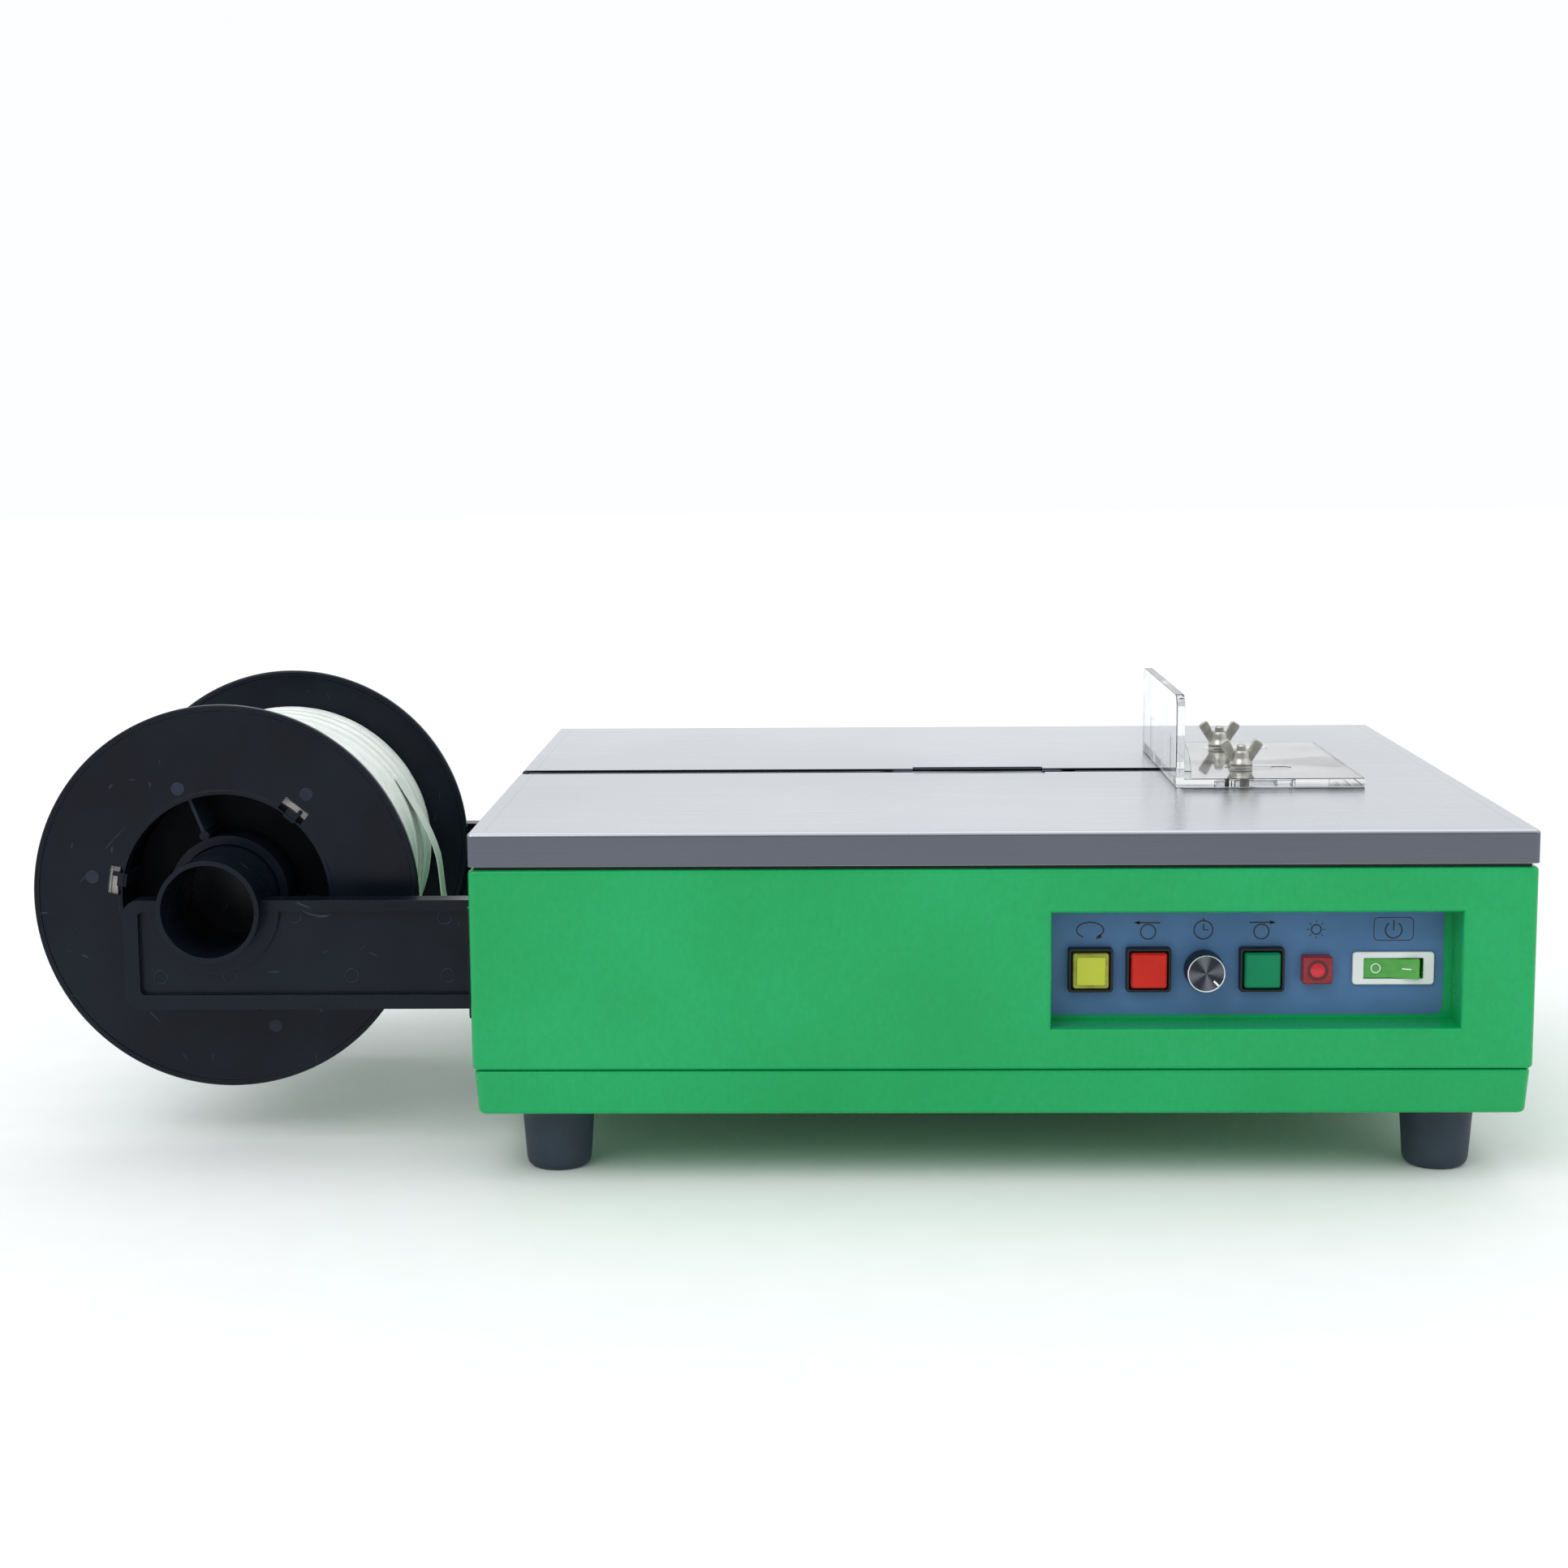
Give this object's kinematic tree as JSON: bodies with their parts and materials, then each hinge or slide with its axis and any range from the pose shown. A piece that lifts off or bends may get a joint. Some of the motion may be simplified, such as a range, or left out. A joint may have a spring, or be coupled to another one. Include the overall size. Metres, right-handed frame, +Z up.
{
  "type": "semi automatic strapping machine",
  "caption": "Bench strapping machine: steel cabinet with slotted stainless table, recessed controls, clear side stop and a strap reel on two side arms.",
  "frame": {"origin": "middle of the bounding box's bottom face, on the bench surface under the feet", "axes": "+X to the operator's right, from the reel to the table; +Y away from the operator; +Z up"},
  "size_m": [0.8252, 0.46, 0.2503],
  "materials": {
    "green_paint": "glossy baked enamel",
    "stainless_steel": "brushed along the length",
    "black_plastic": "moulded, semi gloss, light scuffs",
    "foot_rubber": "matte moulded rubber",
    "panel_blue": "printed satin overlay",
    "bezel_black": "satin black",
    "cap_yellow": "translucent moulding",
    "cap_red": "translucent moulding",
    "cap_green": "translucent moulding",
    "lens_red": "translucent lens",
    "rocker_green": "translucent glossy moulding",
    "switch_white": "glossy white moulding",
    "knob_black": "anodised, spun face",
    "zinc_steel": "bright zinc plate",
    "clear_acrylic": "polished clear sheet",
    "strap_white": "embossed polypropylene strap",
    "core_card": "plain paper tube",
    "machined_steel": "machined",
    "cast_iron": "painted casting",
    "belt_rubber": "moulded rubber",
    "copper": "bare copper alloy and varnished wire",
    "board_green": "circuit board"
  },
  "bodies": {
    "cabinet": {"base_tray": "green_paint", "cabinet_shell": "green_paint", "rear_cover": "green_paint", "table_top": "stainless_steel", "reel_arm_front": "black_plastic", "reel_arm_rear": "black_plastic", "strap_inlet_guide": "black_plastic", "foot_front_left": "foot_rubber", "foot_front_right": "foot_rubber", "foot_rear_left": "foot_rubber", "foot_rear_right": "foot_rubber", "control_plate": "panel_blue", "reset_button_bezel": "bezel_black", "back_button_bezel": "bezel_black", "feed_button_bezel": "bezel_black", "power_inlet": "bezel_black", "power_lamp": "lens_red", "switch_bezel": "switch_white", "stop_stud_front": "zinc_steel", "stop_stud_rear": "zinc_steel", "stop_washer_front": "zinc_steel", "stop_washer_rear": "zinc_steel", "arm_screw_front_outer": "zinc_steel", "arm_screw_front_inner": "zinc_steel", "arm_screw_rear_outer": "zinc_steel", "arm_screw_rear_inner": "zinc_steel", "strap_lead": "strap_white", "feed_bracket": "machined_steel", "timer_potentiometer": "machined_steel", "head_frame": "cast_iron", "drive_motor": "cast_iron", "drive_belt": "belt_rubber", "transformer": "copper", "control_board": "board_green"},
    "reset_button": {"reset_button": "cap_yellow"},
    "back_button": {"back_button": "cap_red"},
    "feed_button": {"feed_button": "cap_green"},
    "timer_knob": {"timer_knob": "knob_black"},
    "switch_rocker": {"switch_rocker": "rocker_green"},
    "side_stop": {"side_stop": "clear_acrylic"},
    "wing_nut_front": {"wing_nut_front": "zinc_steel"},
    "wing_nut_rear": {"wing_nut_rear": "zinc_steel"},
    "reel": {"reel_flange_front": "black_plastic", "reel_flange_rear": "black_plastic", "paper_core": "core_card", "strap_coil": "strap_white"},
    "inlet_roller": {"inlet_roller": "machined_steel"},
    "camshaft": {"camshaft": "machined_steel", "left_gripper_cam": "machined_steel", "cutter_cam": "machined_steel", "right_gripper_cam": "machined_steel", "cam_pulley": "machined_steel"},
    "motor_pulley": {"motor_pulley": "machined_steel"},
    "left_gripper": {"left_gripper": "machined_steel"},
    "cutter_press": {"cutter_press": "machined_steel"},
    "right_gripper": {"right_gripper": "machined_steel"},
    "heater_arm": {"heater_arm": "copper"},
    "anvil_slide": {"anvil_slide": "stainless_steel"},
    "feed_roller": {"feed_roller": "belt_rubber"},
    "pinch_roller": {"pinch_roller": "machined_steel"}
  },
  "joints": [
    {"name": "reset_press", "type": "slide", "parent": "cabinet", "child": "reset_button", "axis": [0, 1, 0], "range_m": [0, 0.003], "stiffness_N_per_m": 400, "springref_m": -0.0005},
    {"name": "back_press", "type": "slide", "parent": "cabinet", "child": "back_button", "axis": [0, 1, 0], "range_m": [0, 0.003], "stiffness_N_per_m": 400, "springref_m": -0.0005},
    {"name": "feed_press", "type": "slide", "parent": "cabinet", "child": "feed_button", "axis": [0, 1, 0], "range_m": [0, 0.003], "stiffness_N_per_m": 400, "springref_m": -0.0005},
    {"name": "timer_turn", "type": "hinge", "parent": "cabinet", "child": "timer_knob", "pos_m": [0.24015, -0.2059, 0.1128], "axis": [0, 1, 0], "range_deg": [-285, 15]},
    {"name": "power_rock", "type": "hinge", "parent": "cabinet", "child": "switch_rocker", "pos_m": [0.34175, -0.2024, 0.1128], "axis": [0, 0, 1], "range_deg": [0, 20]},
    {"name": "stop_slide", "type": "slide", "parent": "cabinet", "child": "side_stop", "axis": [1, 0, 0], "range_m": [-0.026, 0.006]},
    {"name": "wing_nut_front_turn", "type": "hinge", "parent": "cabinet", "child": "wing_nut_front", "pos_m": [0.28615, -0.026, 0.2], "axis": [0, 0, 1], "range_deg": [0, 360]},
    {"name": "wing_nut_rear_turn", "type": "hinge", "parent": "cabinet", "child": "wing_nut_rear", "pos_m": [0.28615, 0.066, 0.2], "axis": [0, 0, 1], "range_deg": [0, 360]},
    {"name": "reel_spin", "type": "hinge", "parent": "cabinet", "child": "reel", "pos_m": [-0.30305, -0.0394, 0.1407], "axis": [0, 1, 0], "continuous": true},
    {"name": "inlet_roller_spin", "type": "hinge", "parent": "cabinet", "child": "inlet_roller", "pos_m": [-0.16685, 0.006, 0.0842], "axis": [0, 1, 0], "continuous": true},
    {"name": "camshaft_spin", "type": "hinge", "parent": "cabinet", "child": "camshaft", "pos_m": [0.13015, 0.006, 0.098], "axis": [1, 0, 0], "continuous": true},
    {"name": "motor_spin", "type": "hinge", "parent": "cabinet", "child": "motor_pulley", "pos_m": [0.19015, 0.146, 0.098], "axis": [1, 0, 0], "continuous": true},
    {"name": "left_grip_lift", "type": "slide", "parent": "cabinet", "child": "left_gripper", "axis": [0, 0, 1], "range_m": [0, 0.008]},
    {"name": "cutter_lift", "type": "slide", "parent": "cabinet", "child": "cutter_press", "axis": [0, 0, 1], "range_m": [0, 0.008]},
    {"name": "right_grip_lift", "type": "slide", "parent": "cabinet", "child": "right_gripper", "axis": [0, 0, 1], "range_m": [0, 0.008]},
    {"name": "heater_swing", "type": "hinge", "parent": "cabinet", "child": "heater_arm", "pos_m": [0.17415, -0.024, 0.181], "axis": [0, 0, -1], "range_deg": [0, 37]},
    {"name": "anvil_draw", "type": "slide", "parent": "cabinet", "child": "anvil_slide", "axis": [0, 1, 0], "range_m": [0, 0.022]},
    {"name": "feed_spin", "type": "hinge", "parent": "cabinet", "child": "feed_roller", "pos_m": [-0.01485, 0.006, 0.0927], "axis": [0, 1, 0], "continuous": true},
    {"name": "pinch_spin", "type": "hinge", "parent": "cabinet", "child": "pinch_roller", "pos_m": [-0.01485, 0.006, 0.0603], "axis": [0, 1, 0], "continuous": true}
  ],
  "couplings": [
    {"joint": "motor_spin", "follows": "camshaft_spin", "ratio": 2.5385},
    {"joint": "pinch_spin", "follows": "feed_spin", "ratio": -1.3846}
  ]
}
